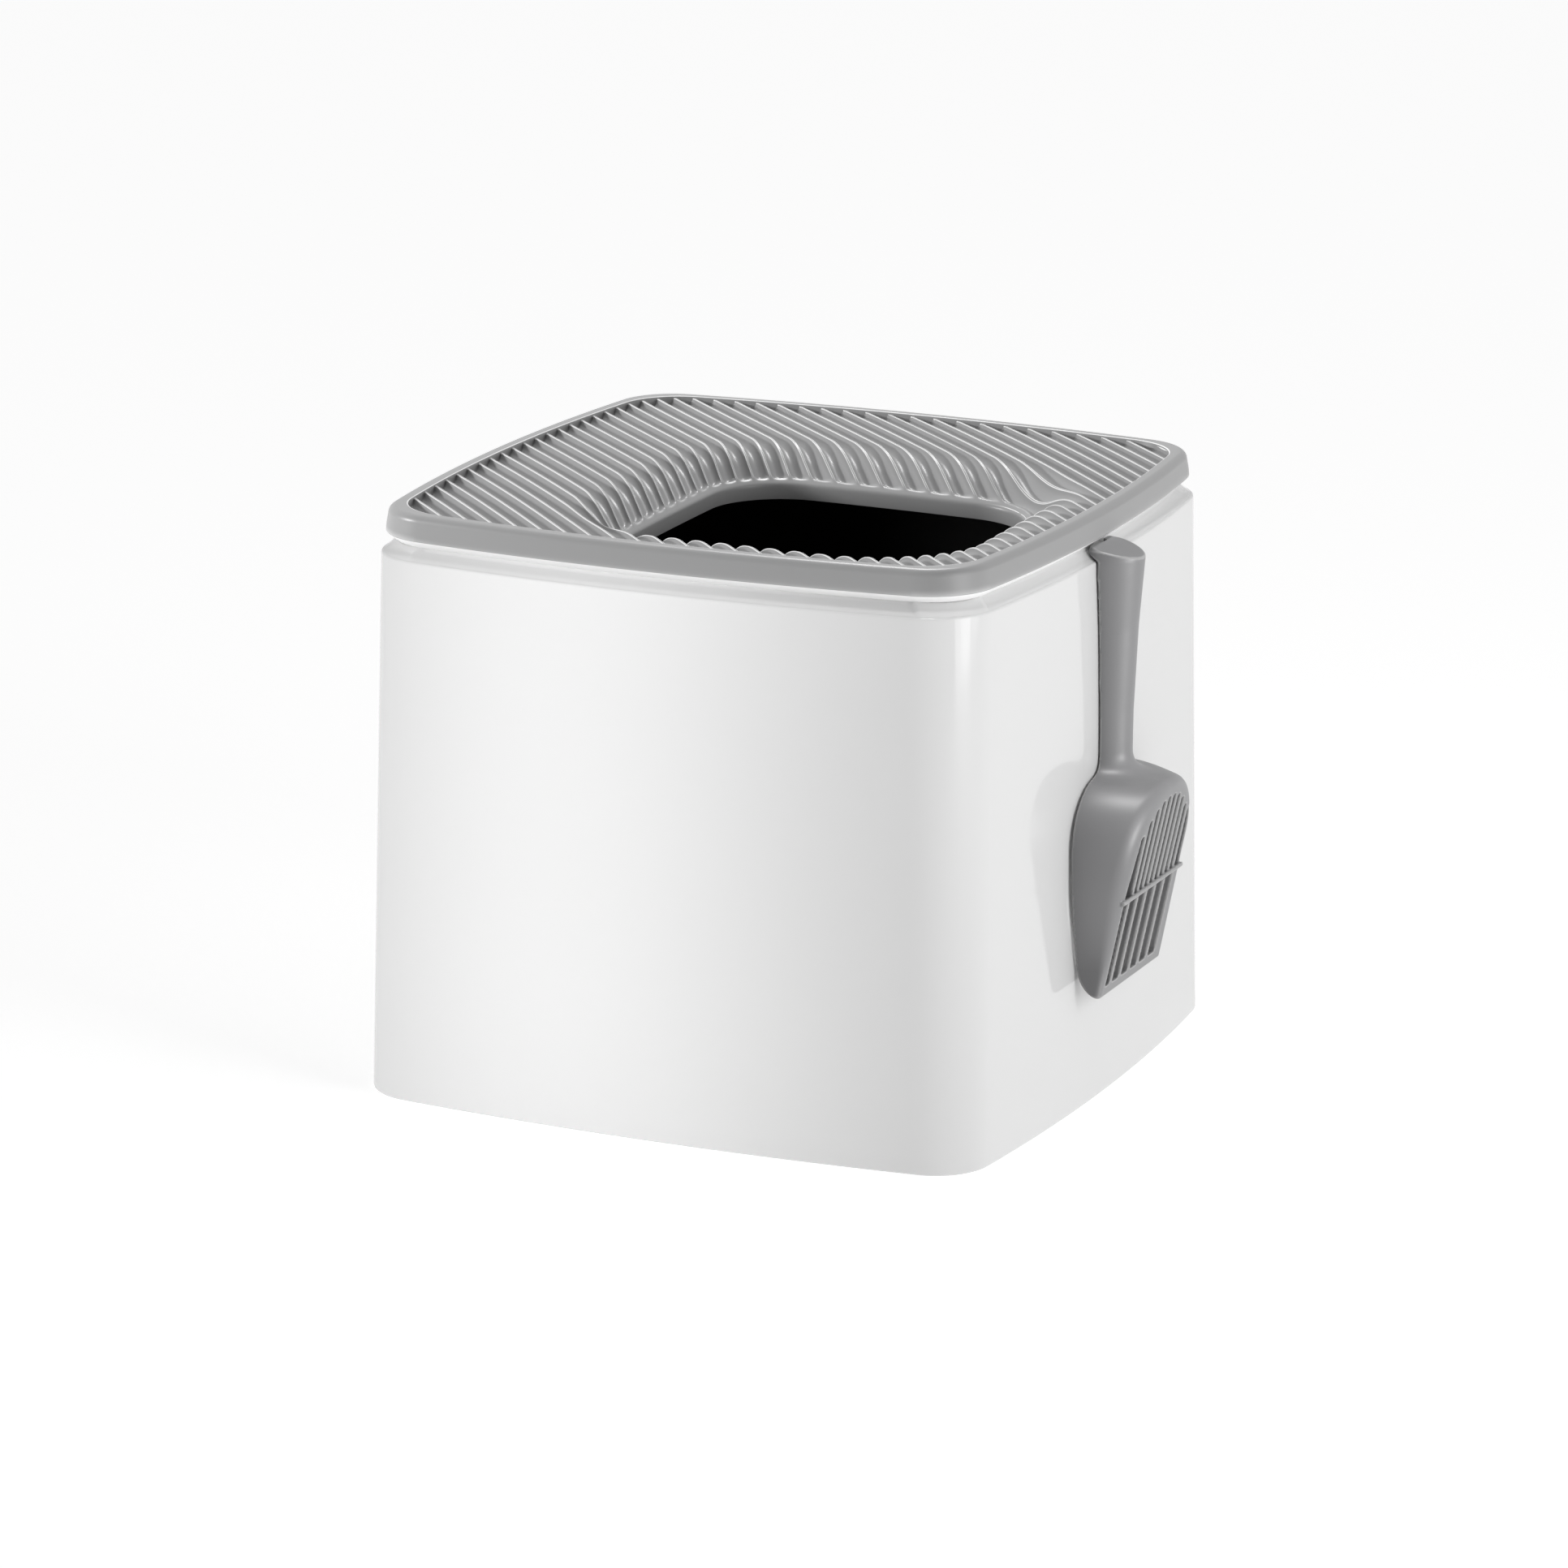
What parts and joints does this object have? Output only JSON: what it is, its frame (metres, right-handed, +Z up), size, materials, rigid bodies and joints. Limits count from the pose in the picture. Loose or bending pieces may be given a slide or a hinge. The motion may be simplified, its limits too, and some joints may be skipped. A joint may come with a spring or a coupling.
{
  "type": "top-entry cat litter box with scoop",
  "caption": "Tall rounded-square litter tub with a ribbed lid whose funnel leads down to an off-centre entry, and a slotted scoop hanging on one wall.",
  "frame": {"origin": "middle of the tub's resting face, on the floor", "axes": "+Z up, -Y towards the front wall, +X towards the wall that carries the scoop"},
  "size_m": [0.4803, 0.4378, 0.3781],
  "materials": {
    "tub_white": "glossy white moulding",
    "lid_grey": "satin mid-grey moulding",
    "scoop_grey": "satin dark grey moulding"
  },
  "bodies": {
    "tub": {"tub": "tub_white"},
    "lid": {"lid": "lid_grey"},
    "scoop": {"scoop": "scoop_grey"}
  },
  "joints": [
    {"name": "lid_lift", "type": "slide", "parent": "tub", "child": "lid", "axis": [0, 0, 1], "range_m": [0, 0.12]},
    {"name": "scoop_unhook", "type": "slide", "parent": "tub", "child": "scoop", "axis": [1, 0, 0], "range_m": [0, 0.09]}
  ]
}
